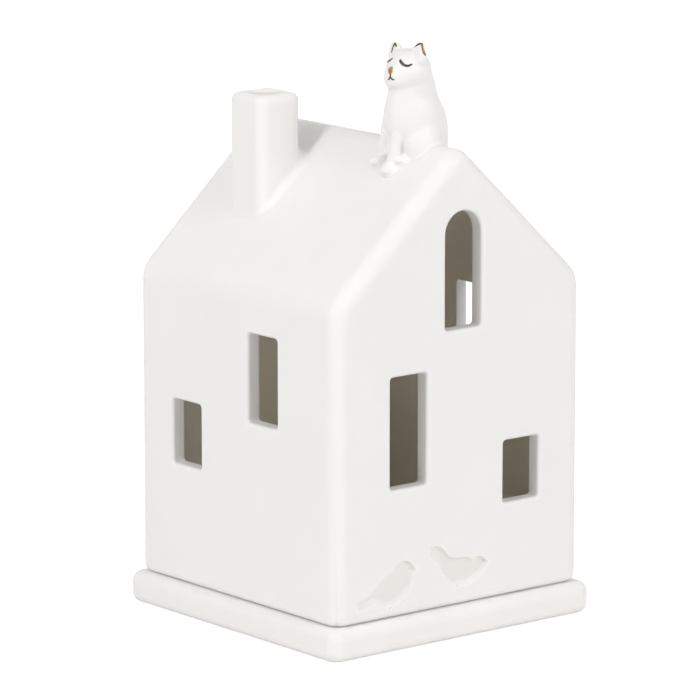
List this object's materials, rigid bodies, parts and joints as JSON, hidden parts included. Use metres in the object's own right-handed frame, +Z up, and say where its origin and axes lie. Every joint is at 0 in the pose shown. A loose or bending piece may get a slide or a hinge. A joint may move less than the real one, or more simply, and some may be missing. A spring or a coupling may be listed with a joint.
{
  "type": "tealight house",
  "caption": "White porcelain gabled house with cut-out windows, chimney and a seated cat on the ridge, standing on a tray over a tealight.",
  "frame": {"origin": "middle of the tray's underside, on the surface that the tray stands on", "axes": "+Z up, ridge along Y, front gable faces -Y, the slope with the chimney faces -X"},
  "size_m": [0.0888, 0.0888, 0.1558],
  "materials": {
    "bisque_porcelain": "matt bisque",
    "glazed_porcelain": "satin glaze",
    "black_enamel": "painted line, fired on",
    "gold_lustre": "bright lustre, fired on",
    "cup_aluminium": "drawn, bright",
    "candle_wax": "white paraffin wax, matt",
    "wick_cotton": "braided cotton",
    "sustainer_steel": "tinned"
  },
  "bodies": {
    "tray": {"base_tray": "bisque_porcelain"},
    "house": {"house_shell": "bisque_porcelain", "chimney": "bisque_porcelain", "cat_figure": "glazed_porcelain"},
    "tealight": {"tealight_cup": "cup_aluminium", "tealight_wax": "candle_wax", "wick": "wick_cotton", "wick_sustainer": "sustainer_steel"}
  },
  "joints": [
    {"name": "house_lift", "type": "slide", "parent": "tray", "child": "house", "axis": [0, 0, 1], "range_m": [0, 0.08]},
    {"name": "tealight_lift", "type": "slide", "parent": "tray", "child": "tealight", "axis": [0, 0, 1], "range_m": [0, 0.04]}
  ]
}
